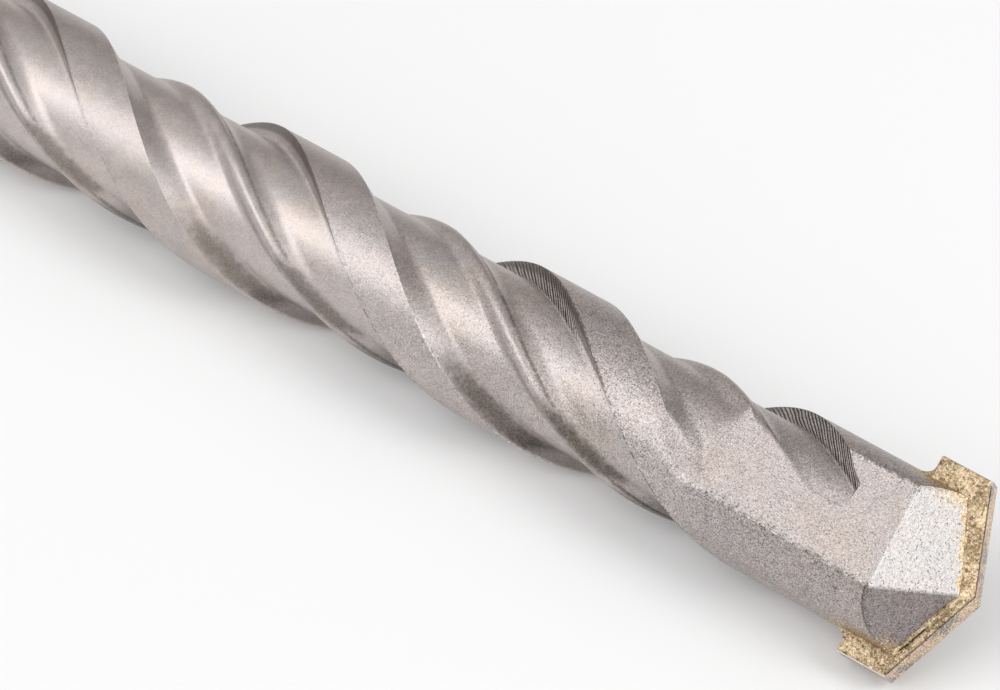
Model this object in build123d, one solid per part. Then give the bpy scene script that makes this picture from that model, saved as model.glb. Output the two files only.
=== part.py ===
from build123d import *
from math import cos, radians, sin, tan
import os

# Driving dimensions, in millimetres and degrees
overall_length = 160.0  # shank end to chisel edge
tip_diameter = 13.1  # across the carbide plate of a 13 mm bit
body_diameter = 10.3  # across the lands
shank_diameter = 10.0
rest_roll = 54.2  # how far the plate's face leans up from the floor as the bit lies

# Flutes: angles run back from each land's sharp edge, radii are shares of the body radius
lead = 39.8  # length of one full turn, right handed
land_angle = 43.6  # width of each of the two lands
floor_share = 0.79  # floor behind the land
crest_share = 0.905  # low ridge between the two floors of a flute
second_floor_share = 0.775  # floor in front of the next land's sharp edge
edge_at_tip_plane = 160.0  # angle of a sharp edge at the head plane, from the plate's normal

# Shank
shank_length = 41.0  # full diameter up to the neck
neck_diameter = 9.2
neck_end = 49.0  # body diameter is reached here
end_chamfer = 1.0
slot_width = 2.8  # two open driving slots
slot_floor_radius = 3.75
slot_end = 26.0
ball_radius = 3.5  # two closed grooves for the locking balls
ball_groove_start = 7.8
ball_groove_end = 28.0
ball_floor_radius = 4.15
slot_roll = 45.0  # driving slots, from the plate's normal

# Head, measured from the head plane
apex_height = 6.4  # of the chisel edge above the head plane
shoulder_height = 3.87  # of the plate's outer corners
plate_bottom = 0.6
plate_thickness = 1.6
clearance_angle = 5.0  # of the two roof faces behind their cutting edges
margin_relief = 6.0  # of the plate's narrow outer faces
flat_share = 0.76  # distance of the two head flats from the axis
flat_roll = -15.0  # of the flats' normal, from the plate's normal
braze_film = 0.05
corner_fillet = 0.8  # braze under the plate's outer corners

body_radius = body_diameter / 2
shank_radius = shank_diameter / 2
head_plane = overall_length - apex_height
twist_per_mm = 360 / lead


def on_section(back_angle, share):
    """A point of the flutes' cross-section at the head plane."""
    angle = radians(edge_at_tip_plane - back_angle)
    return (share * body_radius * cos(angle), share * body_radius * sin(angle))


def round_arc(start, end, share):
    """A stretch of the section concentric with the bit's axis."""
    return ThreePointArc(
        on_section(start, share), on_section((start + end) / 2, share), on_section(end, share)
    )


def groove_solid(edges, start, end):
    """A closed section twisted along the axis from start to end."""
    outline = Wire([edge for curve in edges for edge in curve.edges()])
    outline = outline.rotate(Axis.Z, (start - head_plane) * twist_per_mm)
    section = Face(outline.moved(Location((0, 0, start))))
    return Solid.extrude_linear_with_rotation(
        section, (0, 0, start), (0, 0, end - start), (end - start) * twist_per_mm
    )


def runout_cone(small_at, wide_at, share_small, share_wide):
    """A cone about the axis whose side lifts a groove out of the bar."""
    length = abs(wide_at - small_at)
    cone = Cone(share_small * body_radius, share_wide * body_radius, length)
    if wide_at < small_at:
        cone = cone.rotate(Axis.X, 180)
    return cone.moved(Location((0, 0, (small_at + wide_at) / 2)))


def both_sides(solid):
    """The solid and its twin half a turn round the axis."""
    return [solid, solid.rotate(Axis.Z, 180)]


def beyond_plane(normal, distance, reach=20.0):
    """A block that covers everything on the far side of a plane."""
    n = Vector(*normal).normalized()
    block = Box(reach, reach, reach).moved(Location((0, 0, reach / 2)))
    return block.moved(Plane(origin=n * distance, z_dir=n).location)


# Wide half of each flute: slope behind the land, floor and the rise to the ridge
wide_edges = [
    Polyline(on_section(land_angle - 11.2, 1.319), on_section(land_angle + 12.2, 0.822)),
    ThreePointArc(
        on_section(land_angle + 12.2, 0.822),
        on_section(land_angle + 14.0, 0.800),
        on_section(land_angle + 16.5, floor_share),
    ),
    round_arc(land_angle + 16.5, 101.0, floor_share),
    Spline(
        on_section(101.0, floor_share),
        on_section(103.0, 0.797),
        on_section(107.5, 0.838),
        on_section(111.5, 0.882),
        on_section(114.5, 0.898),
        on_section(118.5, crest_share + 0.002),
    ),
    Polyline(on_section(118.5, crest_share + 0.002), on_section(129.0, 1.319)),
    round_arc(129.0, land_angle - 11.2, 1.319),
]

# Narrow half of each flute: far side of the ridge, second floor and the land's sharp edge
narrow_edges = [
    Polyline(on_section(105.5, 1.30), on_section(116.0, crest_share + 0.006)),
    Spline(
        on_section(116.0, crest_share + 0.006),
        on_section(119.2, 0.899),
        on_section(123.5, 0.869),
        on_section(128.5, 0.822),
        on_section(132.5, 0.793),
        on_section(136.0, 0.780),
        on_section(140.0, second_floor_share),
    ),
    round_arc(140.0, 164.0, second_floor_share),
    Spline(
        on_section(164.0, second_floor_share),
        on_section(169.0, 0.789),
        on_section(173.5, 0.829),
        on_section(177.2, 0.895),
        on_section(180.0, 1.0),
        on_section(181.6, 1.08),
    ),
    Polyline(on_section(181.6, 1.08), on_section(184.0, 1.30)),
    round_arc(184.0, 105.5, 1.30),
]

# The head: a round bar cut by the ends of both grooves of each flute
head_start = head_plane - 14.0
head_end = head_plane + 6.2
wide_groove = groove_solid(wide_edges, head_start - 1.0, head_plane - 7.2)
wide_groove -= runout_cone(head_plane - 13.6, head_plane - 7.2, 0.5, 1.4)
narrow_groove = groove_solid(narrow_edges, head_start - 1.0, head_plane - 1.0)
narrow_groove -= Box(24, 12, 12).moved(
    Location((0, 0, head_plane - 7.7 + 6), (0, 0, flat_roll)) * Location((0, 6, 0))
)
head = Cylinder(body_radius, head_end - head_start).moved(
    Location((0, 0, (head_start + head_end) / 2))
)
for groove in both_sides(wide_groove) + both_sides(narrow_groove):
    head -= groove

# Flats of the head, each starting on a slant in the floor of its flute
flat_at = Location((0, 0, head_plane), (0, 0, flat_roll))
flat_outline = Polyline((-9, -15.6), (2, -11.4), (9, -4.4), (9, 9), (-9, 9), (-9, -15.6))
flat_block = extrude(Plane.YZ * make_face(flat_outline), 6, taper=-45)
flat_block = flat_block.moved(flat_at * Location((flat_share * body_radius, 0, 0)))
for block in both_sides(flat_block):
    head -= block

# Two facets close each half of the head; both slope away from the plate
near_half = Box(20, 40, 40).moved(Location((10, 0, head_plane)))
facets = [((0.7726, -0.269, 0.5751), 0.75), ((0.6171, 0.2972, 0.7286), 0.913)]
for normal, share in facets:
    cutter = beyond_plane(normal, share * body_radius, 24.0)
    cutter = cutter.moved(Location((0, 0, head_plane))) & near_half
    for block in both_sides(cutter):
        head -= block

# Slot for the plate, with room for the braze
slot_width_head = plate_thickness + 2 * braze_film
slot_bottom = head_plane + plate_bottom - braze_film
head -= Box(slot_width_head, 14, 12).moved(Location((0, 0, slot_bottom + 6)))

# The fluted stretch carries the head's end section on, twisted, towards the shank
flute_start = 55.0
end_section = head.faces().sort_by(Axis.Z)[0]
flutes = Solid.extrude_linear_with_rotation(
    end_section.outer_wire(),
    (0, 0, head_start),
    (0, 0, flute_start - head_start),
    (head_start - flute_start) * twist_per_mm,
)

# Shank, neck and the cone on which the flutes run out, turned in one piece
shank_outline = Polyline(
    (0, 0),
    (shank_radius - end_chamfer, 0),
    (shank_radius, end_chamfer),
    (shank_radius, shank_length),
    (neck_diameter / 2, shank_length + 1.2),
    (neck_diameter / 2, neck_end - 1.6),
    (body_radius, neck_end),
    (body_radius, flute_start),
    (0.74 * body_radius, flute_start + 9.0),
    (0, flute_start + 9.0),
    (0, 0),
)
shank = revolve(Plane.XZ * make_face(shank_outline), Axis.Z)

# Two open driving slots and two closed grooves for the locking balls
driving_slot = Box(6, slot_width, slot_end + 10).moved(
    Location((slot_floor_radius + 3, 0, (slot_end - 10) / 2))
)
driving_slot += Cylinder(slot_width / 2, 6).moved(
    Location((slot_floor_radius + 3, 0, slot_end), (0, 90, 0))
)
ball_path_radius = ball_floor_radius + ball_radius
groove_reach = sin(radians(40)) * ball_radius
first_ball = ball_groove_start + groove_reach
last_ball = ball_groove_end - groove_reach
ball_groove = Cylinder(ball_radius, last_ball - first_ball).moved(
    Location((0, ball_path_radius, (first_ball + last_ball) / 2))
)
for at in (first_ball, last_ball):
    ball_groove += Sphere(ball_radius).moved(Location((0, ball_path_radius, at)))
for cut in both_sides(driving_slot) + both_sides(ball_groove):
    shank -= cut.rotate(Axis.Z, slot_roll)

drill_body = (shank + flutes) + head

# Carbide plate: flat sides, two roof faces that fall away behind their cutting edges
half_width = tip_diameter / 2
roof_slope = (apex_height - shoulder_height) / half_width
fall = tan(radians(clearance_angle))
relief = tan(radians(margin_relief))
roof_top = Vector(0, 0, apex_height)
margin_edge = Vector(plate_thickness / 2, -half_width, 0)


def plate_shape(thickness, bottom, inset):
    """The plate's outline as a block, drawn in from its roof and narrow faces by the inset."""
    shape = Box(thickness, tip_diameter, 8).moved(Location((0, 0, bottom + 4)))
    shape &= Cylinder(half_width - inset, 20).moved(Location((0, 0, 4)))
    for point, normal in ((roof_top, (-fall, -roof_slope, 1)), (margin_edge, (-relief, -1, 0))):
        n = Vector(*normal).normalized()
        for block in both_sides(beyond_plane(normal, n.dot(point) - inset, 24.0)):
            shape -= block
    return shape


plate = plate_shape(plate_thickness, plate_bottom, 0.0)

# Braze: a film round the plate in its slot and over its sides, and two corner fillets
corner = (body_radius, plate_bottom - corner_fillet)
middle = corner_fillet * (1 - cos(radians(45)))
fillet_edges = [
    Polyline(
        (body_radius + corner_fillet, plate_bottom),
        (body_radius - 1.5, plate_bottom),
        (body_radius - 1.5, plate_bottom - corner_fillet),
        corner,
    ),
    ThreePointArc(
        corner,
        (body_radius + middle, plate_bottom - middle),
        (body_radius + corner_fillet, plate_bottom),
    ),
]
fillet = extrude(Plane.YZ * make_face(fillet_edges), slot_width_head / 2, both=True)
braze = plate_shape(slot_width_head, plate_bottom - braze_film, 0.12)
for piece in both_sides(fillet):
    braze += piece
braze -= plate
up_to_head = Location((0, 0, head_plane))
plate = plate.moved(up_to_head)
braze = braze.moved(up_to_head) - head

# Lay the bit down: axis along X with the tip towards +X, resting on its lands,
# rolled as it lies; the origin is on the floor under its middle
lying = Plane(
    origin=(-overall_length / 2, 0, body_radius),
    x_dir=(0, -cos(radians(rest_roll)), sin(radians(rest_roll))),
    z_dir=(1, 0, 0),
)
os.makedirs("parts", exist_ok=True)
for name, piece in (("drill_body", drill_body), ("carbide_tip", plate), ("braze", braze)):
    export_step(piece.moved(lying.location), f"parts/{name}.step")
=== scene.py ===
from math import cos, pi, radians, sin, tan

import bmesh
import bpy
from mathutils import Matrix, Vector, noise


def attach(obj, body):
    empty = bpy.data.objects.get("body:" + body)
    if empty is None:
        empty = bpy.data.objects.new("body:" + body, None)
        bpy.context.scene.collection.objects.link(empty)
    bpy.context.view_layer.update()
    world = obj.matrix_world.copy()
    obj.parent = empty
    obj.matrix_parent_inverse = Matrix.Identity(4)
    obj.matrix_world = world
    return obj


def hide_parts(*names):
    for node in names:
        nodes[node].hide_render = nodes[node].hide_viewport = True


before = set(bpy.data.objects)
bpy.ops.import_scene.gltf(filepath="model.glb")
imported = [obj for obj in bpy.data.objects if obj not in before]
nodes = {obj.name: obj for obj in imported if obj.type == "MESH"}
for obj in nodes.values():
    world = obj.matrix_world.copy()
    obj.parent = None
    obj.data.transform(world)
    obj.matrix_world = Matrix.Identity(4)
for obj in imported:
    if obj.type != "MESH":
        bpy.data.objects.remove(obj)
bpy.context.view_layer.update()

# Driving dimensions, in millimetres and degrees, z from the shank end along the bit's axis
overall_length = 160.0
body_radius = 5.15
rest_roll = 54.2  # how far the plate's face leans up from the floor as the bit lies

# Flutes: angles run back from each land's sharp edge, radii are shares of the body radius
lead = 39.8  # length of one full turn, right handed
land_angle = 43.6
floor_share = 0.790
edge_at_head_plane = 160.0  # angle of a sharp edge at the head plane, from the plate's normal

# Shank, with two open driving slots and two closed ball grooves
shank_radius = 5.0
shank_length = 41.0
neck_radius = 4.6
neck_end = 49.0
flute_start = 55.0
end_chamfer = 1.0
slot_width = 2.8
slot_floor_radius = 3.75
slot_end = 27.4
ball_radius = 3.5
ball_groove_start = 7.8
ball_groove_end = 28.0
ball_floor_radius = 4.15
slot_roll = 45.0

# Head, measured from the head plane
apex_height = 6.4
flat_share = 0.76
flat_roll = -15.0
flat_fall = 0.014  # how much nearer the axis a flat lies for each millimetre towards the tip
flat_from = -11.5  # where the flats' run-out ends
sharp_flat_from = flat_from + 0.9  # past it blocks cut the flats' sharp edges
head_facets = [((0.7726, -0.269, 0.5751), 0.75), ((0.6171, 0.2972, 0.7286), 0.913)]

# Carbide plate and its braze, measured from the head plane
tip_radius = 6.55
shoulder_height = 3.87
plate_bottom = 0.6
plate_thickness = 1.6
clearance_angle = 5.0
margin_relief = 6.0
braze_film = 0.05
corner_fillet = 0.8

head_plane = overall_length - apex_height
twist_per_mm = 360 / lead
columns = 276  # of the body's mesh, round the axis
crowding = 0.6  # how much closer the columns stand at the lands' sharp edges

# From the bit's own frame, in millimetres, to where it lies, in metres
roll = radians(rest_roll)
lying = Matrix.Scale(0.001, 4) @ Matrix(
    (
        (0, 0, 1, -overall_length / 2),
        (-cos(roll), -sin(roll), 0, 0),
        (sin(roll), -cos(roll), 0, body_radius),
        (0, 0, 0, 1),
    )
)


class Term:
    """A socket of a node tree; operators on it add the nodes that work them out."""

    def __init__(self, tree, socket):
        self.tree = tree
        self.socket = socket

    def math(self, operation, *others):
        return self.tree.add("ShaderNodeMath", {"operation": operation}, [self, *others])

    def vector(self, operation, other):
        return self.tree.add("ShaderNodeVectorMath", {"operation": operation}, [self, other])

    def vector_number(self, operation, other):
        return self.tree.add("ShaderNodeVectorMath", {"operation": operation}, [self, other], 1)

    def __add__(self, other):
        return self.math("ADD", other)

    def __sub__(self, other):
        return self.math("SUBTRACT", other)

    def __mul__(self, other):
        return self.math("MULTIPLY", other)

    def __truediv__(self, other):
        return self.math("DIVIDE", other)

    def __mod__(self, other):
        return self.math("FLOORED_MODULO", other)

    def __radd__(self, other):
        return self.math("ADD", other)

    def __rmul__(self, other):
        return self.math("MULTIPLY", other)

    def __rsub__(self, other):
        return self.math("MULTIPLY_ADD", -1.0, other)

    def __gt__(self, other):
        return self.math("GREATER_THAN", other)

    def min(self, other):
        return self.math("MINIMUM", other)

    def max(self, other):
        return self.math("MAXIMUM", other)

    def grey(self):
        """The same number in all three channels of a colour."""
        return self.tree.add("ShaderNodeCombineXYZ", None, [self, self, self])

    def clamp(self):
        return self.max(0.0).min(1.0)

    def step(self, low, high):
        """A soft step from 0 at low to 1 at high, which may be the lower of the two."""
        return self.tree.add(
            "ShaderNodeMapRange", {"interpolation_type": "SMOOTHSTEP"},
            {"Value": self, "From Min": low, "From Max": high},
        )

    def near(self, centre, reach):
        """1 at the centre, falling softly to 0 at the reach on both sides."""
        return (self - centre).math("ABSOLUTE").step(reach, 0.0)


class Tree:
    """A node tree, filled by one method."""

    def __init__(self, tree):
        self.tree = tree

    def add(self, kind, settings=None, sockets=None, out=0):
        """Adds a node and returns its output, or all of them where out is None."""
        node = self.tree.nodes.new(kind)
        for name, value in (settings or {}).items():
            if name == "stops":
                set_stops(node.color_ramp, value)
            elif name == "points":
                set_points(node.mapping, value)
            else:
                setattr(node, name, value)
        pairs = sockets.items() if isinstance(sockets, dict) else enumerate(sockets or ())
        for key, value in pairs:
            if isinstance(value, Term):
                self.tree.links.new(value.socket, node.inputs[key])
            elif value is not None:
                node.inputs[key].default_value = value
        if out is None:
            return [Term(self, socket) for socket in node.outputs]
        return Term(self, node.outputs[out])

    def noise(self, place, scale, detail=2.0, roughness=0.5):
        sockets = {"Vector": place, "Scale": scale, "Detail": detail, "Roughness": roughness}
        return self.add("ShaderNodeTexNoise", None, sockets)

    def dots(self, place, scale):
        """Distance to the nearest of many scattered points, and that point's own random colour."""
        sockets = {"Vector": place, "Scale": scale}
        return self.add("ShaderNodeTexVoronoi", None, sockets, None)[:2]

    def mix(self, factor, first, second, blend="MIX"):
        """A mix of two colours."""
        colours = [(*c, 1) if isinstance(c, tuple) else c for c in (first, second)]
        settings = {"data_type": "RGBA", "blend_type": blend}
        return self.add("ShaderNodeMix", settings, {0: factor, 6: colours[0], 7: colours[1]}, 2)

    def bump(self, relief):
        """The surface's normal from a relief in millimetres."""
        return self.add("ShaderNodeBump", None, {"Distance": 0.001, "Height": relief})


def set_stops(ramp, stops):
    """Gives a colour ramp its stops, each a place and a colour or a grey."""
    while len(ramp.elements) < len(stops):
        ramp.elements.new(0.5)
    for element, (place, colour) in zip(ramp.elements, stops):
        element.position = place
        element.color = (*colour, 1) if isinstance(colour, tuple) else (colour, colour, colour, 1)


def set_points(mapping, points):
    """Gives a float curve its points, with straight joints where a point says so."""
    curve = mapping.curves[0]
    while len(curve.points) < len(points):
        curve.points.new(0.5, 0.5)
    for point, (x, y, *straight) in zip(curve.points, points):
        point.location = (x, y)
        point.handle_type = "VECTOR" if straight else "AUTO_CLAMPED"
    mapping.update()


# The flutes' section: angles run back from a land's sharp edge over half a turn,
# radii are shares of the body radius; a third value marks a straight joint
wide_half = [
    (0.0, 1.0, "straight"),
    (land_angle, 1.0, "straight"),
    (land_angle + 1.9, 0.970),
    (land_angle + 12.4, 0.834),
    (land_angle + 16.4, 0.800),
    (land_angle + 20.4, floor_share),
    (101.0, floor_share),
    (103.0, 0.797),
    (107.5, 0.838),
    (111.5, 0.882),
    (114.5, 0.898),
    (118.5, 0.907, "straight"),
    (121.0, 1.0, "straight"),
    (180.0, 1.0, "straight"),
]
narrow_half = [
    (0.0, 1.0, "straight"),
    (113.5, 1.0, "straight"),
    (116.0, 0.911, "straight"),
    (119.2, 0.899),
    (123.5, 0.869),
    (128.5, 0.822),
    (132.5, 0.793),
    (136.0, 0.780),
    (140.0, 0.775),
    (172.0, 0.777),
    (176.3, 0.787),
    (178.3, 0.817),
    (179.3, 0.880),
    (180.0, 1.0, "straight"),
]


def fluted_bar():
    """The twisted stretch from the start of the flutes to the tip, as a tube open at both ends."""
    group = bpy.data.node_groups.new("fluted_bar", "GeometryNodeTree")
    sizes = {
        "Body radius": body_radius,
        "Twist per mm": radians(twist_per_mm),
        "Flutes from": flute_start,
        "Fine rows from": head_plane - 14.2,
        "Head plane": head_plane,
        "Tip": head_plane + 5.9,
    }
    for name, value in sizes.items():
        socket = group.interface.new_socket(name, in_out="INPUT", socket_type="NodeSocketFloat")
        socket.default_value = value
    group.interface.new_socket("Bar", in_out="OUTPUT", socket_type="NodeSocketGeometry")
    tree = Tree(group)
    radius, twist, start, fine_from, plane, tip, _ = tree.add("NodeGroupInput", out=None)

    coarse_rows = 140
    fine_rows = 150
    grid = tree.add(
        "GeometryNodeMeshGrid",
        None,
        {"Size X": 1.0, "Size Y": 1.0, "Vertices X": columns + 1,
         "Vertices Y": coarse_rows + fine_rows + 1},
    )
    place = tree.add("ShaderNodeSeparateXYZ", None, [tree.add("GeometryNodeInputPosition")], None)
    around = (place[0] + 0.5) * 360.0
    around = around - (around * radians(2)).math("SINE") * (crowding * 90 / pi)
    row_share = place[1] + 0.5
    bend = coarse_rows / (coarse_rows + fine_rows)
    coarse = (row_share / bend).min(1.0)
    fine = ((row_share - bend) / (1 - bend)).max(0.0)
    z = start + (fine_from - start) * coarse + (tip - fine_from) * fine
    height = z - plane

    half_turn = (around % 180.0) / 180.0
    shares = []
    for half in (wide_half, narrow_half):
        points = [(angle / 180, *rest) for angle, *rest in half]
        shares.append(tree.add("ShaderNodeFloatCurve", {"points": points}, {"Value": half_turn}))
    wide, narrow = shares
    angle = radians(edge_at_head_plane) - around * radians(1) + twist * height

    # The wide half runs out on a cone, the narrow half stops at the middle of the flat
    cone_from = -13.6
    cone_slope = 0.9 / 6.4
    stop_at_middle = -7.7
    stop_everywhere = -2.2
    run_out = 0.5 + (height - cone_from) * cone_slope
    from_flat = angle - radians(flat_roll)
    past_middle = (from_flat.math("SINE") * from_flat.math("COSINE")) > 0.0
    stopped = (past_middle * (height > stop_at_middle)).max(height > stop_everywhere)
    share = wide.math("SMOOTH_MAX", run_out, 0.1).min(narrow.max(stopped)).min(1.0)

    # The flats fade in on a slant, a hair proud of the blocks that cut their sharp edges later
    slant_slope = 0.38
    proud = 0.03
    slant = (flat_from - height).math("SMOOTH_MAX", 0.0, 1.0) * slant_slope
    skin = (height - flat_from - 1.0).clamp() * proud - 0.001
    flat_at = flat_share * radius - (height + 2.0) * flat_fall + slant + skin
    flat_share_here = flat_at / (from_flat.math("COSINE").math("ABSOLUTE").max(0.25) * radius)
    softness = (-10.7 - height).clamp() * 0.11
    rounding = height.step(-8.5, -10.5) * 0.11 + 0.07
    softness = softness.max(((0.965 - share) / 0.07).clamp() * rounding) + 0.004
    share = share.math("SMOOTH_MIN", flat_share_here, softness)
    start_cone = 1.0 - (z - start) * (0.26 / 9.0)
    reach = share.max(start_cone) * radius

    position = tree.add(
        "ShaderNodeCombineXYZ", None, [angle.math("COSINE") * reach, angle.math("SINE") * reach, z]
    )
    bar = tree.add("GeometryNodeSetPosition", None, {"Geometry": grid, "Position": position})
    bar = tree.add("GeometryNodeMergeByDistance", None, {"Geometry": bar, "Distance": 0.0005})
    output = group.nodes.new("NodeGroupOutput")
    group.links.new(bar.socket, output.inputs[0])
    return mesh_from_tree("fluted_bar", group)


def mesh_from_tree(name, group):
    """A plain mesh of what a geometry tree makes."""
    carrier = bpy.data.objects.new(name, bpy.data.meshes.new(name))
    bpy.context.scene.collection.objects.link(carrier)
    carrier.modifiers.new("tree", "NODES").node_group = group
    apply_modifiers(carrier)
    mesh = carrier.data
    bpy.data.objects.remove(carrier)
    return mesh


def apply_modifiers(thing):
    """Gives the object the plain mesh that its modifiers make, and removes them."""
    evaluated = thing.evaluated_get(bpy.context.evaluated_depsgraph_get())
    mesh = bpy.data.meshes.new_from_object(evaluated)
    thing.modifiers.clear()
    thing.data = mesh


def add_rings(shape, stations, first_angle):
    """Adds a turned surface from pairs of height and radius; a zero radius closes it."""
    arounds = [2 * pi * i / columns for i in range(columns)]
    angles = [first_angle - around + sin(2 * around) * crowding / 2 for around in arounds]
    rings = []
    for z, r in stations:
        if r == 0:
            rings.append([shape.verts.new((0, 0, z))] * columns)
            continue
        rings.append([shape.verts.new((r * cos(angle), r * sin(angle), z)) for angle in angles])
    for low, high in zip(rings, rings[1:]):
        for i in range(columns):
            j = (i + 1) % columns
            corners = [low[i], low[j], high[j], high[i]]
            shape.faces.new(dict.fromkeys(corners))


def eased(start, end, steps=8):
    """Stations that lead softly from one height and radius to another."""
    shares = [i / steps for i in range(steps + 1)]
    return [
        (start[0] + (end[0] - start[0]) * t, start[1] + (end[1] - start[1]) * t * t * (3 - 2 * t))
        for t in shares
    ]


def block_within(planes, grid=()):
    """The convex block behind every plane, each given by a point and its outward normal.

    The planes of the grid only add edges to its faces.
    """
    reach = 20.0
    block = bmesh.new()
    bmesh.ops.create_cube(block, size=2 * reach)
    for point, normal in planes:
        cut = bmesh.ops.bisect_plane(
            block, geom=block.verts[:] + block.edges[:] + block.faces[:],
            plane_co=point, plane_no=normal, clear_outer=True,
        )
        rim = [e for e in cut["geom_cut"] if isinstance(e, bmesh.types.BMEdge)]
        bmesh.ops.edgeloop_fill(block, edges=rim)
    for point, normal in grid:
        bmesh.ops.bisect_plane(
            block, geom=block.verts[:] + block.edges[:] + block.faces[:],
            plane_co=point, plane_no=normal,
        )
    return block


def as_object(name, shape):
    """An object in the scene from a bmesh, which is freed."""
    bmesh.ops.recalc_face_normals(shape, faces=shape.faces)
    mesh = bpy.data.meshes.new(name)
    shape.to_mesh(mesh)
    shape.free()
    thing = bpy.data.objects.new(name, mesh)
    bpy.context.scene.collection.objects.link(thing)
    return thing


def cut_from(thing, cutters):
    """Cuts each block out of the object's mesh, and removes the blocks."""
    for cutter in cutters:
        modifier = thing.modifiers.new("cut", "BOOLEAN")
        modifier.operation = "DIFFERENCE"
        modifier.solver = "MANIFOLD"
        modifier.object = cutter
    apply_modifiers(thing)
    for cutter in cutters:
        bpy.data.objects.remove(cutter)


def turned_twice(make):
    """What a function makes, and its twin half a turn round the axis."""
    pair = [make(), make()]
    pair[1].data.transform(Matrix.Rotation(pi, 4, "Z"))
    return pair


def slab_planes(thickness, bottom):
    """Both sides and the bottom of a slab that stands across the bit's axis."""
    half = thickness / 2
    return [((half, 0, 0), (1, 0, 0)), ((-half, 0, 0), (-1, 0, 0)), ((0, 0, bottom), (0, 0, -1))]


def driving_slot():
    """The block that cuts one open slot into the shank."""
    half = slot_width / 2
    block = block_within(
        [((slot_floor_radius, 0, 0), (-1, 0, 0)), ((0, half, 0), (0, 1, 0)),
         ((0, -half, 0), (0, -1, 0)), ((0, 0, slot_end), (0, 0, 1)), ((9, 0, 0), (1, 0, 0))]
    )
    block.transform(Matrix.Rotation(radians(slot_roll), 4, "Z"))
    return as_object("driving_slot", block)


def ball_groove():
    """The round-ended bar that cuts one closed groove into the shank."""
    shape = bmesh.new()
    reach = ball_radius * sin(radians(40))
    low, high = ball_groove_start + reach, ball_groove_end - reach
    steps = 10
    bows = [pi / 2 * i / steps for i in range(steps + 1)]
    stations = [(low - ball_radius * cos(b), ball_radius * sin(b)) for b in bows]
    stations += [(high + ball_radius * sin(b), ball_radius * cos(b)) for b in bows]
    stations[0] = (stations[0][0], 0)
    stations[-1] = (stations[-1][0], 0)
    add_rings(shape, stations, 0.0)
    shape.transform(Matrix.Translation((0, ball_floor_radius + ball_radius, 0)))
    shape.transform(Matrix.Rotation(radians(slot_roll), 4, "Z"))
    return as_object("ball_groove", shape)


def head_flat():
    """The block that cuts one flat of the head down to its sharp edges."""
    planes = [
        ((flat_share * body_radius, 0, -2), (-1, 0, -flat_fall)),
        ((0, 0, sharp_flat_from), (0, 0, -1)),
    ]
    spacing = 0.4  # of the edges that the grid adds to its faces
    grid = [((0, spacing * i, 0), (0, 1, 0)) for i in range(-10, 11)]
    grid += [((0, 0, -spacing * i), (0, 0, 1)) for i in range(-12, 30)]
    block = block_within(planes, grid=grid)
    block.transform(Matrix.Rotation(radians(flat_roll), 4, "Z"))
    block.transform(Matrix.Translation((0, 0, head_plane)))
    return as_object("head_flat", block)


def head_facet(normal, share):
    """The block beyond one facet, on the near side of the plate."""
    n = Vector(normal).normalized()
    block = block_within([(n * share * body_radius, -n), ((0, 0, 0), (-1, 0, 0))])
    block.transform(Matrix.Translation((0, 0, head_plane)))
    return as_object("head_facet", block)


def plate_slot():
    """The block that cuts the slot for the plate, with room for the braze."""
    block = block_within(slab_planes(plate_thickness + 2 * braze_film, plate_bottom - braze_film))
    block.transform(Matrix.Translation((0, 0, head_plane)))
    return as_object("plate_slot", block)


def drill_body():
    """Shank, flutes and head as one closed mesh, lying in the frame."""
    shape = bmesh.new()
    shape.from_mesh(fluted_bar())
    first_angle = radians(edge_at_head_plane + twist_per_mm * (flute_start - head_plane))
    stations = [(0, 0), (0, shank_radius - end_chamfer), (end_chamfer, shank_radius)]
    stations += [(end_chamfer + 0.3, shank_radius), (shank_length / 2, shank_radius)]
    stations += eased((shank_length, shank_radius), (shank_length + 1.2, neck_radius))
    stations += eased((neck_end - 1.6, neck_radius), (neck_end, body_radius))
    stations += [(flute_start, body_radius)]
    add_rings(shape, stations, first_angle)
    bmesh.ops.remove_doubles(shape, verts=shape.verts, dist=0.0008)
    rims = [e for e in shape.edges if e.is_boundary]
    bmesh.ops.edgeloop_fill(shape, edges=rims)
    body = as_object("drill_body_finish", shape)
    cutters = turned_twice(driving_slot) + turned_twice(ball_groove) + turned_twice(head_flat)
    for facet in head_facets:
        cutters += turned_twice(lambda: head_facet(*facet))
    cutters.append(plate_slot())
    cut_from(body, cutters)
    body.data.transform(lying)
    body.data.polygons.foreach_set("use_smooth", [True] * len(body.data.polygons))
    body.data.set_sharp_from_angle(angle=radians(24))
    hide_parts("drill_body")
    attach(body, "root")
    return body


def plate_block(thickness, bottom, inset):
    """The carbide plate's outline, drawn in from its roof and narrow faces by the inset."""
    slope = (apex_height - shoulder_height) / tip_radius
    fall = tan(radians(clearance_angle))
    relief = tan(radians(margin_relief))
    planes = slab_planes(thickness, bottom)
    for side in (1, -1):
        roof = Vector((-fall * side, -slope * side, 1)).normalized()
        margin = Vector((-relief * side, -side, 0)).normalized()
        edge = Vector((side * plate_thickness / 2, -side * tip_radius, 0))
        planes.append((Vector((0, 0, apex_height)) - roof * inset, roof))
        planes.append((edge - margin * inset, margin))
    return block_within(planes)


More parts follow.
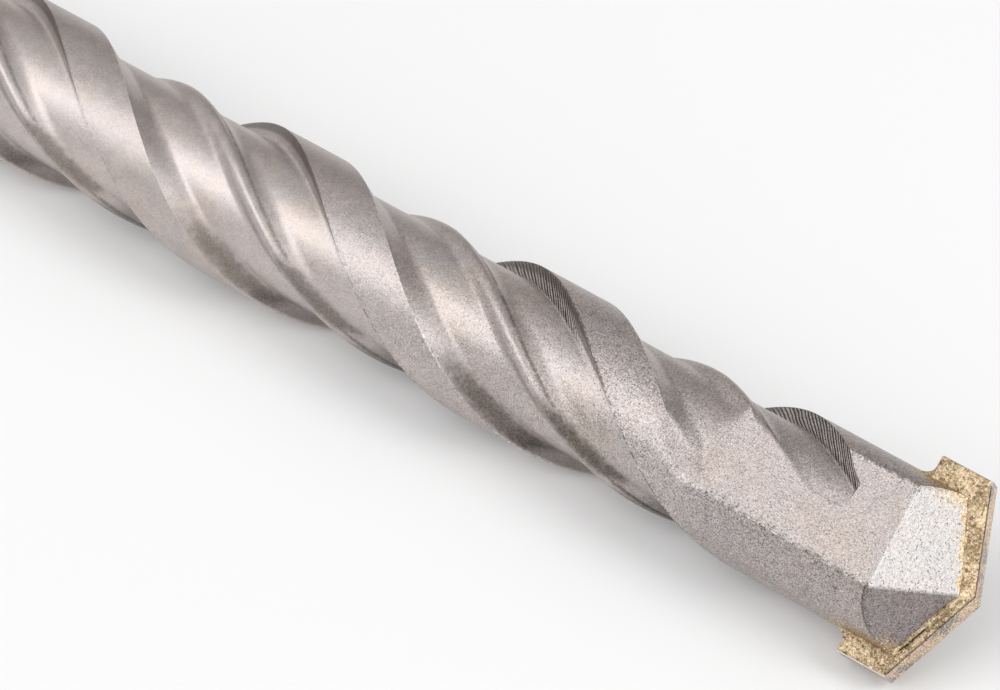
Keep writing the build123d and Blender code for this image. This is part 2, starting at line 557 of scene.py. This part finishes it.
def bead(shape, route, thickness):
    """Adds a round bead along a route of points, with its radius at each, closed at both ends."""
    route = [Vector(point) for point in route]
    sides = 10
    rings = []
    for i, at in enumerate(route):
        way = (route[min(i + 1, len(route) - 1)] - route[max(i - 1, 0)]).normalized()
        across = way.orthogonal().normalized()
        size = thickness[i] * (0.85 + 0.3 * noise.noise(at * 1.3))
        turned = [Matrix.Rotation(2 * pi * j / sides, 3, way) @ across for j in range(sides)]
        rings.append([shape.verts.new(at + spoke * size) for spoke in turned])
    for low, high in zip(rings, rings[1:]):
        for j in range(sides):
            k = (j + 1) % sides
            shape.faces.new((low[j], low[k], high[k], high[j]))
    shape.faces.new(rings[0])
    shape.faces.new(rings[-1])


def seam_height(y):
    """Where the plate's side meets the facets, above the head plane."""
    x = plate_thickness / 2 + braze_film
    heights = []
    for normal, share in head_facets:
        n = Vector(normal).normalized()
        heights.append((share * body_radius - n.x * x - n.y * y) / n.z)
    return min(heights)


def add_beads(shape):
    """One bead on each side of the plate, thicker along the second facet."""
    seam_x = plate_thickness / 2 + 0.03
    reach = body_radius - 0.15
    steps = 40
    thin, thicker_by = 0.15, 0.17
    for side in (1, -1):
        route = []
        thickness = []
        for i in range(steps + 1):
            y = -reach + 2 * reach * i / steps
            route.append((side * seam_x, side * y, seam_height(y) - 0.02))
            thickness.append(thin + thicker_by * min(max((y + 0.3) / 1.2, 0), 1))
        bead(shape, route, thickness)


def add_fillets(shape):
    """A hollow fillet under each outer corner of the plate."""
    steps = 8
    inner = body_radius - 1.5
    for side in (1, -1):
        outline = [(inner, plate_bottom), (inner, plate_bottom - corner_fillet)]
        for i in range(steps + 1):
            turn = pi / 2 * i / steps
            outline.append((body_radius + corner_fillet * (1 - cos(turn)),
                            plate_bottom - corner_fillet * (1 - sin(turn))))
        walls = []
        for x in (-plate_thickness / 2, plate_thickness / 2):
            walls.append([shape.verts.new((x, side * y, z)) for y, z in outline])
        for i in range(len(outline)):
            j = (i + 1) % len(outline)
            shape.faces.new((walls[0][i], walls[0][j], walls[1][j], walls[1][i]))
        shape.faces.new(walls[0])
        shape.faces.new(walls[1])


def braze_skin():
    """Braze as it solidified: lumpy over the plate's sides, in beads along its seams."""
    film = 0.06
    shape = plate_block(plate_thickness + 2 * film, plate_bottom - braze_film, film)
    add_beads(shape)
    add_fillets(shape)
    braze = as_object("braze_skin", shape)
    remesh = braze.modifiers.new("remesh", "REMESH")
    remesh.mode = "VOXEL"
    remesh.voxel_size = 0.07
    smooth = braze.modifiers.new("smooth", "SMOOTH")
    smooth.iterations = 3
    apply_modifiers(braze)
    mesh = braze.data
    for vertex in mesh.vertices:
        at = vertex.co
        lump = noise.noise(at * 1.1) * 0.05 + noise.noise(at * 3.7) * 0.035
        vertex.co = at + Vector((1.0 if at.x > 0 else -1.0, 0, 0)) * lump * min(abs(at.x), 1.0)
    mesh.transform(Matrix.Translation((0, 0, head_plane)))
    mesh.transform(lying)
    mesh.polygons.foreach_set("use_smooth", [True] * len(mesh.polygons))
    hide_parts("braze")
    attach(braze, "root")
    return braze


class BitPlace:
    """Where a point of a surface lies: in the bit's own frame, in millimetres.

    Height counts from the head plane, and share is the distance from the axis in body radii.
    """

    def __init__(self, tree):
        at, turn, scale = lying.decompose()
        self.place = tree.add(
            "ShaderNodeMapping", {"vector_type": "TEXTURE"},
            {"Vector": tree.add("ShaderNodeTexCoord", out=3), "Location": at,
             "Rotation": turn.to_euler(), "Scale": scale},
        )
        self.x, self.y, z = tree.add("ShaderNodeSeparateXYZ", None, [self.place], None)
        self.height = z - head_plane
        self.share = (self.x * self.x + self.y * self.y).math("SQRT") / body_radius


class SteelPlace(BitPlace):
    """A place on the steel, with its angles on the flutes' section and what its finishes share.

    Behind counts degrees back from a land's sharp edge, and deep those left to the next one.
    """

    def __init__(self, tree):
        super().__init__(tree)
        height = self.height
        self.angle = self.y.math("ARCTAN2", self.x) * (180 / pi)
        self.behind = (height * twist_per_mm + edge_at_head_plane - self.angle) % 180.0
        self.deep = 180.0 - self.behind
        self.on_flutes = height.step(-97.0, -90.0) * height.step(-1.0, -7.0)
        self.on_lands = height.step(-97.0, -90.0) * height.step(-10.0, -11.5)
        self.near_head = height.step(-50.0, -14.0)
        across_flat = (cos(radians(flat_roll)), sin(radians(flat_roll)), 0)
        flat_x = self.place.vector_number("DOT_PRODUCT", across_flat).math("ABSOLUTE")
        self.from_flat = flat_x - flat_share * body_radius + (height + 2) * flat_fall
        self.grain = tree.noise(self.place, 11.0, 2.0, 0.7)
        self.coarse_grain = tree.noise(self.place, 4.5, 3.0, 0.65)


def painted(name, make):
    """A material whose shader a function makes in its tree."""
    material = bpy.data.materials.new(name)
    material.use_nodes = True
    material.node_tree.nodes.clear()
    tree = Tree(material.node_tree)
    shader = make(tree)
    output = material.node_tree.nodes.new("ShaderNodeOutputMaterial")
    material.node_tree.links.new(shader.socket, output.inputs["Surface"])
    return material


# Colours of the steel and of what lies on it, as linear red, green and blue; some of them are painted
# light and painted shade
cool_steel = (0.474, 0.432, 0.422)
pink_steel = (0.490, 0.432, 0.412)
warm_steel = (0.498, 0.430, 0.388)
# Painted shade in the milling lines
milling_line_shade = (0.035, 0.028, 0.024)
# Staining and painted shade in the flutes share these two colours
dark_stain_and_shade = (0.065, 0.051, 0.041)
pale_stain_and_shade = (0.17, 0.141, 0.12)
# Painted highlight along the edges
edge_highlight_colour = (0.74, 0.70, 0.68)
edge_shadow = (0.1, 0.082, 0.072)
burr_shadow = (0.11, 0.09, 0.08)
# Painted light and painted shade for the head's two facets
facet_light_tint = (0.98, 1.045, 1.06)
facet_shade_tint = (0.69, 0.68, 0.69)
rust = (0.13, 0.065, 0.045)
dark_gilt = (0.36, 0.25, 0.14)
bright_gilt = (0.70, 0.54, 0.32)
speck_brown = (0.13, 0.115, 0.105)
pit_black = (0.07, 0.055, 0.05)


def milling_lines(tree, bit):
    """Lines across the hollow flank under each sharp edge, and how strongly each place has them; the lines
    are real marks, painted near-black as shade in their grooves.
    """
    across = bit.height - bit.deep * 0.1 - (1.0 - bit.share) * 5.5 + tree.noise(bit.place, 0.5) * 0.4
    along_lines = tree.add("ShaderNodeCombineXYZ", None, [across * 5.2, bit.deep * 0.05, 0.0])
    lines = tree.noise(along_lines, 1.0, 2.0, 0.6) * 0.7
    lines = lines + ((across * 19.0).math("SINE") * 0.5 + 0.5) * 0.3
    flank = bit.deep.step(8.5, 5.0) * bit.share.step(1.0, 0.992) * bit.height.step(-1.9, -2.3)
    by_head = bit.height.near(-6.5, 8.5)
    middle = bit.height.near(-28.0, 8.0)
    far_off = bit.height.near(-47.0, 7.0)
    stretches = middle.max(by_head).max(far_off * 0.05)
    return lines, flank * (stretches.step(0.0, 0.45) * 0.95 + 0.05)


def stains_and_shade(tree, bit):
    """Dark staining mixed with painted shade on the near side, in the slopes behind the lands and the
    ridges, with a painted shade line at each ridge's foot.
    """
    stain_and_shade_noise = tree.noise(bit.place, 1.6, 5.0, 0.75)
    turn = bit.angle % 180.0
    behind_land = bit.behind.near(land_angle + 9.4, 17.0) * turn.step(12.0, 50.0)
    behind_ridge = (bit.behind - turn * 0.25).near(113.0, 17.0) * turn.near(47.0, 36.0).step(0.0, 0.7)
    slopes = (behind_land + behind_ridge).clamp() * turn.step(122.0, 84.0)
    spots = (bit.grain - 0.5) * 2.4 + (bit.coarse_grain - 0.5) * 1.8
    spots = spots * (bit.near_head * 0.5 + 0.5)
    spots = (slopes * 0.8 + spots + (stain_and_shade_noise - 0.5) * 0.8).step(0.2, 0.8)
    # Partly real staining, partly painted shade that darkens the lower part of the near side
    stain_and_shade = (slopes + (stain_and_shade_noise - 0.5) * 1.2).step(0.0, 0.85) * (spots * 0.65 + 0.35)
    stain_and_shade = stain_and_shade * slopes.step(0.0, 0.2) * bit.share.step(1.0, 0.975) * bit.x.step(-0.5, 0.5)
    off_flat = bit.from_flat.step(-0.03, -0.12).max(bit.height.step(-9.0, -10.0))
    # Painted shade: a dark line in the crease at each ridge's foot
    ridge_foot_shade = bit.behind.near(124.5, 3.0) * stain_and_shade_noise.step(0.32, 0.5) * off_flat * 0.8
    return stain_and_shade.max(ridge_foot_shade) * bit.on_flutes


def edge_burrs_light_and_shade(tree, bit, chips, colour):
    """Sharp lines at both sides of each land and round the flats: painted highlights and painted shadows,
    chipped, and burrs beside them.
    """
    mm_per_degree = body_radius * pi / 180
    from_sharp = bit.behind.min(bit.deep) * mm_per_degree
    from_back = (bit.behind - land_angle).math("ABSOLUTE") * mm_per_degree
    from_edge = from_sharp.min(from_back)
    flat_edge = bit.from_flat.near(0.0, 0.075) * bit.share.step(0.97, 0.99)
    flat_edge = flat_edge * bit.height.step(-11.4, -10.4)
    edge = (from_edge.step(0.11, 0.03) * bit.share.step(0.95, 0.98) * bit.on_lands).max(flat_edge)
    # Painted highlight along the sharp edges and round the flats
    edge_highlight = edge * chips.step(0.42, 0.58) * (1.0 - flat_edge * 0.35) * (bit.near_head * 0.8 + 0.2)
    colour = tree.mix(edge_highlight * 0.5, colour, edge_highlight_colour)

    # Painted shade: a dark rim under each sharp edge, and dark lines beside the lands' and flats' edges
    shade_under_edge = bit.deep.step(2.2, 0.6) * bit.share.step(0.86, 0.92) * bit.share.step(1.0, 0.99)
    dark = from_sharp.step(0.15, 0.08) * bit.share.step(0.93, 0.97) * bit.on_lands
    dark = dark.max(flat_edge * 0.5) * chips.step(0.58, 0.42) * (bit.near_head * 0.75 + 0.25)
    dark = dark.max(shade_under_edge * bit.on_lands * 0.8)
    colour = tree.mix(dark * 0.8, colour, edge_shadow)

    near_flat = bit.from_flat.near(0.0, 0.8) * bit.height.step(-12.0, -10.5)
    burr = (from_edge.step(0.7, 0.1) * bit.on_lands).max(near_flat) * bit.share.step(0.93, 0.97)
    burr = burr * tree.noise(bit.place, 4.6, 3.0, 0.7).step(0.59, 0.66)
    burr = burr * bit.near_head * bit.height.step(4.5, 3.5)
    return tree.mix(burr * 0.7, colour, burr_shadow), edge_highlight, burr


def facet_light_shade_and_rust(tree, bit, chips, colour):
    """Painted light on one facet and painted shade on the other, though both are ground alike, with a
    rusty seam where the darker one meets the land.
    """
    side = bit.x.math("SIGN")
    turned = bit.place.vector("MULTIPLY", tree.add("ShaderNodeCombineXYZ", None, [side, side, 1.0]))
    past = []
    for facet, facet_share in head_facets:
        n = Vector(facet).normalized()
        out = turned.vector_number("DOT_PRODUCT", tuple(n)) - n.z * head_plane
        past.append(out - facet_share * body_radius)
    on_lit_facet = past[0].step(-0.09, -0.03) * bit.height.step(0.0, 0.5)
    # Painted light on the first facet
    colour = tree.mix(on_lit_facet, colour, facet_light_tint, "MULTIPLY")
    ragged = past[1] + (tree.noise(bit.place, 2.5, 3.0, 0.7) - 0.5) * 0.12
    on_shaded_facet = ragged.step(-0.12, -0.04) * bit.height.step(1.0, 1.3)
    # Painted shade on the second facet
    colour = tree.mix(on_shaded_facet, colour, facet_shade_tint, "MULTIPLY")
    seam = ragged.near(-0.1, 0.1) * bit.share.step(0.965, 0.985) * chips.step(0.36, 0.5)
    seam = seam * bit.x.math("ABSOLUTE").step(1.8, 2.6)
    return tree.mix(seam * 0.85, colour, rust), on_shaded_facet


def gilded(tree, bit, colour):
    """A gold-brown stain of braze beside the plate."""
    beside = bit.x.math("ABSOLUTE") + (tree.noise(bit.place, 1.1, 4.0, 0.65) - 0.5) * 1.1
    outside = bit.height.step(-2.0, 1.2) * bit.share.step(0.8, 0.97)
    gilt = beside.step(1.15, 0.85).max(beside.step(2.7, 1.0) * outside)
    gilt = gilt * bit.height.step(-1.6, -0.4)
    return tree.mix(gilt * 0.85, colour, tree.mix(bit.grain.step(0.4, 0.62), dark_gilt, bright_gilt))


def specks_and_pits(tree, bit, colour):
    """Small dark specks, and fewer larger pits with frayed rims."""
    near_speck, _ = tree.dots(bit.place, 5.2)
    specks = near_speck.step(0.27, 0.12) * tree.noise(bit.place, 2.9).step(0.42, 0.58)
    wobble = {"Vector": bit.place, "Scale": 6.0, "Detail": 2.0}
    frayed = bit.place.vector("ADD", tree.add("ShaderNodeTexNoise", None, wobble, 1))
    near_pit, pit_colour = tree.dots(frayed, 0.9)
    kept = pit_colour.vector_number("DOT_PRODUCT", (1, 0, 0)) > 0.7
    pits = near_pit.step(0.085, 0.04) * kept
    fewer_far_off = bit.near_head * 0.85 + 0.15
    specks = specks * fewer_far_off
    pits = pits * fewer_far_off
    colour = tree.mix(specks * 0.6, colour, speck_brown)
    return tree.mix(pits * 0.7, colour, pit_black), specks, pits


def steel_tone(bit, blotch, contrast):
    """How light each place is: grain, painted shade on the lands by the head and on the underside of the
    flutes.
    """
    # Painted shade on the lands near the tip
    land_shade = bit.share.step(0.972, 0.988) * bit.height.step(-13.0, -8.5) * bit.height.step(3.5, 2.0)
    on_flat = bit.from_flat.near(0.0, 0.12) * bit.share.step(0.985, 0.972)
    on_flat = on_flat * bit.height.step(-11.0, -9.0)
    on_floor = bit.share.step(0.87, 0.80) * (1.0 - bit.near_head)
    # Painted shade on the underside of the flutes
    underside_shade = bit.angle.near(98.0, 42.0).step(0.1, 0.9) * bit.share.step(0.99, 0.95) * bit.on_flutes
    underside_shade = underside_shade * (bit.coarse_grain.step(0.3, 0.6) * 0.3 + 0.7)
    tone = ((bit.grain - 0.5) * 2.3 + (bit.coarse_grain - 0.5) * 0.7) * contrast
    tone = tone + (blotch - 0.5) * 0.4 + 1.05 - bit.near_head * 0.05
    tone = tone - land_shade * 0.12 + on_flat * 0.06 + on_floor * 0.1
    return (tone * (1.0 - underside_shade * 0.5)).max(0.2)


def steel(tree):
    """Shot-blasted steel with staining and painted shade in its grooves, painted highlights, painted
    shadows and burrs along its edges, milling lines painted dark as shade, and painted light and shade on
    the head's facets.
    """
    bit = SteelPlace(tree)
    patch = tree.noise(bit.place, 0.35)
    cloud = tree.noise(bit.place, 0.2, 3.0)
    blotch = tree.noise(bit.place, 1.3, 3.0, 0.6)
    chips = tree.noise(bit.place, 3.4, 5.0, 0.75)
    colour = tree.mix(patch.step(0.35, 0.65), cool_steel, pink_steel)
    colour = tree.mix(cloud.step(0.48, 0.66) * 0.6, colour, warm_steel)

    lines, lines_here = milling_lines(tree, bit)
    # Milling lines painted near-black as shade
    colour = tree.mix(lines.step(0.53, 0.40) * lines_here * 0.95, colour, milling_line_shade)
    # Staining and painted shade, mixed in one dark colour
    stain_and_shade = stains_and_shade(tree, bit)
    stain_and_shade_colour = tree.mix(bit.grain.step(0.42, 0.6), dark_stain_and_shade, pale_stain_and_shade)
    colour = tree.mix(stain_and_shade * (bit.near_head * 0.3 + 0.6), colour, stain_and_shade_colour)
    colour, edge_highlight, burr = edge_burrs_light_and_shade(tree, bit, chips, colour)
    colour, on_shaded_facet = facet_light_shade_and_rust(tree, bit, chips, colour)
    colour = gilded(tree, bit, colour)
    colour, specks, pits = specks_and_pits(tree, bit, colour)

    contrast = bit.near_head * 0.6 + 0.4 + on_shaded_facet * 0.4 + bit.share.step(0.96, 0.99) * bit.near_head * 0.3
    tone = steel_tone(bit, blotch, contrast)
    colour = tree.mix(1.0, colour, tone.grey(), "MULTIPLY")
    rough = (bit.grain - 0.5) * 0.4 * contrast + (blotch - 0.5) * 0.1 + 0.44
    rough = rough + stain_and_shade * 0.15 - edge_highlight * 0.08
    relief = (bit.grain * 0.014 + bit.coarse_grain * 0.018) * contrast + blotch * 0.012
    relief = relief - specks * 0.012 - pits * 0.04 + lines * lines_here * 0.12 + burr * 0.02
    return metal(tree, colour, rough, relief)


def metal(tree, colour, rough, relief):
    """A bare metal's shader, with its relief in millimetres."""
    return tree.add("ShaderNodeBsdfPrincipled", None, {
        "Base Color": colour, "Metallic": 1.0, "Roughness": rough, "Normal": tree.bump(relief)})


def carbide(tree):
    """Ground carbide with a thin tan film in patches, speckled, and dark along its sides."""
    bit = BitPlace(tree)
    film = tree.noise(bit.place, 0.6, 4.0, 0.65)
    tint = tree.noise(bit.place, 1.1, 3.0, 0.6)
    speckle = tree.noise(bit.place, 9.0, 2.0, 0.7)
    golden, coppery, bare = (0.80, 0.61, 0.36), (0.78, 0.52, 0.42), (0.25, 0.245, 0.24)
    colour = tree.mix(tint.step(0.44, 0.56), golden, coppery)
    colour = tree.mix(film.step(0.51, 0.56) * 0.85, colour, bare)
    colour = tree.mix(speckle.step(0.52, 0.6) * 0.8, colour, (0.95, 0.88, 0.74))
    colour = tree.mix(speckle.step(0.48, 0.4) * 0.8, colour, (0.13, 0.1, 0.085))
    margin = bit.share.step(1.21, 1.245)
    colour = tree.mix(margin * 0.7, colour, (0.42, 0.41, 0.40))
    half = plate_thickness / 2
    side = bit.x.math("ABSOLUTE").step(half - 0.015, half - 0.003)
    colour = tree.mix(side * (1.0 - margin) * 0.85, colour, (0.05, 0.032, 0.022))
    return metal(tree, colour, (speckle - 0.5) * 0.3 + 0.42, speckle * 0.02 + film * 0.01)


def bead_slits(tree, bit, near_y):
    """Dark slits where the bead has drawn away from the second facet, their darkness painted shade."""
    facet, facet_share = head_facets[1]
    n = Vector(facet).normalized()
    seam_x = plate_thickness / 2 + braze_film
    seam = (facet_share * body_radius - n.x * seam_x - near_y * n.y) / n.z
    slit_shade = (bit.height - seam).near(0.16, 0.1) * near_y.near(3.7, 1.3).step(0.0, 0.3)
    return slit_shade * tree.noise(near_y.grey(), 1.4, 1.0).step(0.44, 0.5)


def braze_metal(tree):
    """Glittering gold-brown braze with coppery and pale patches, painted shade on its lower side and in
    its slits.
    """
    bit = BitPlace(tree)
    near_y = bit.y * bit.x.math("SIGN")
    patch = tree.noise(bit.place, 0.9, 3.0, 0.65)
    copper = tree.noise(bit.place, 1.9, 2.0)
    grain = tree.noise(bit.place, 5.0, 3.0, 0.75)
    fine = tree.noise(bit.place, 12.0, 2.0, 0.6)
    streaks = tree.noise(bit.place.vector("MULTIPLY", (1.0, 0.6, 2.2)), 1.5, 3.0, 0.6)
    flakes, _ = tree.dots(bit.place, 6.0)
    colour = tree.mix(patch.step(0.35, 0.65), (0.43, 0.315, 0.185), (0.76, 0.60, 0.39))
    colour = tree.mix(copper.step(0.5, 0.62) * 0.65, colour, (0.66, 0.45, 0.33))
    colour = tree.mix(grain.step(0.54, 0.64) * 0.7, colour, (0.90, 0.80, 0.60))
    colour = tree.mix(grain.step(0.475, 0.385) * 0.85, colour, (0.14, 0.085, 0.042))
    colour = tree.mix(streaks.step(0.58, 0.66) * 0.45, colour, (0.24, 0.15, 0.07))
    # Painted shade: the braze darkens towards its lower side, where near_y grows
    tone = (fine - 0.5) * 2.4 + (patch - 0.5) * 0.4 + 0.95 - near_y.step(0.0, 2.0) * 0.14
    colour = tree.mix(1.0, colour, tone.max(0.2).grey(), "MULTIPLY")
    slit_shade = bead_slits(tree, bit, near_y)
    # Painted shade inside the slits
    colour = tree.mix(slit_shade * 0.95, colour, (0.02, 0.012, 0.006))
    relief = grain * 0.07 + flakes * 0.03 + fine * 0.02 - slit_shade * 0.1
    return metal(tree, colour, (grain - 0.5) * 0.5 + 0.42, relief)


def floor_paint(tree):
    """Plain pale floor, a little lighter where the camera, metal or glass sees it."""
    tone = tree.noise(tree.add("ShaderNodeTexCoord", out=3), 20.0, 3.0) * 0.01 + 0.80
    rays = tree.add("ShaderNodeLightPath", out=None)
    camera_ray, glossy_ray, transmission_ray = rays[0], rays[3], rays[6]
    seen = camera_ray + glossy_ray + transmission_ray
    return tree.add("ShaderNodeBsdfPrincipled", None, {
        "Base Color": tone.grey(), "Roughness": 0.9,
        "Emission Color": seen.clamp().grey(), "Emission Strength": 0.07})


def paint(thing, material):
    """Gives the object this material alone."""
    thing.data.materials.clear()
    thing.data.materials.append(material)


paint(drill_body(), painted("steel", steel))
paint(braze_skin(), painted("braze", braze_metal))
paint(nodes["carbide_tip"], painted("carbide", carbide))


def lamp(name, direction, distance, size, power):
    """A square soft lamp that looks at the bit."""
    light = bpy.data.lights.new(name, "AREA")
    light.shape = "SQUARE"
    light.size = size
    light.energy = power
    thing = bpy.data.objects.new(name, light)
    bpy.context.scene.collection.objects.link(thing)
    way = Vector(direction).normalized()
    thing.location = way * distance
    thing.rotation_mode = "QUATERNION"
    thing.rotation_quaternion = way.to_track_quat("Z", "Y")


lamp("key", (-0.28, -0.5, 0.8), distance=0.6, size=0.45, power=1.15)
lamp("tip_side", (0.7, 0.11, 0.7), distance=0.6, size=0.24, power=0.95)


def studio():
    """A plain soft world, brightest in front of the bit and above it."""
    world = bpy.data.worlds.new("studio")
    bpy.context.scene.world = world
    world.use_nodes = True
    tree = Tree(world.node_tree)
    way = tree.add("ShaderNodeTexCoord", out=0)
    brightest_way = (-0.25, -0.5, 0.83)
    facing = way.vector_number("DOT_PRODUCT", brightest_way)
    stops = [(0.0, (0.28, 0.27, 0.265)), (0.45, (0.39, 0.375, 0.37)), (0.75, 0.7), (1.0, 0.88)]
    colour = tree.add("ShaderNodeValToRGB", {"stops": stops}, [(facing + 1.0) * 0.5])
    world.node_tree.links.new(colour.socket, world.node_tree.nodes["Background"].inputs["Color"])


studio()

floor_shape = bmesh.new()
bmesh.ops.create_grid(floor_shape, x_segments=1, y_segments=1, size=3.0)
floor = as_object("floor", floor_shape)
paint(floor, painted("floor", floor_paint))

# The camera looks at the head as the photograph does, 291 mm from the head plane
camera_data = bpy.data.cameras.new("camera")
camera_data.lens = 179.8
camera_data.sensor_width = 36.0
camera_data.clip_start = 0.01
camera = bpy.data.objects.new("camera", camera_data)
bpy.context.scene.collection.objects.link(camera)
right = Vector((0.8058, 0.5919, 0.0))
up = Vector((-0.4417, 0.6013, 0.6657))
back = Vector((0.394, -0.5364, 0.7462))
from_head = Vector((0.09106, -0.16178, 0.2246))
at = lying @ Vector((0, 0, head_plane)) + from_head
camera.matrix_world = Matrix(
    ((right.x, up.x, back.x, at.x), (right.y, up.y, back.y, at.y),
     (right.z, up.z, back.z, at.z), (0, 0, 0, 1))
)
bpy.context.scene.camera = camera
bpy.context.scene.view_settings.view_transform = "Standard"
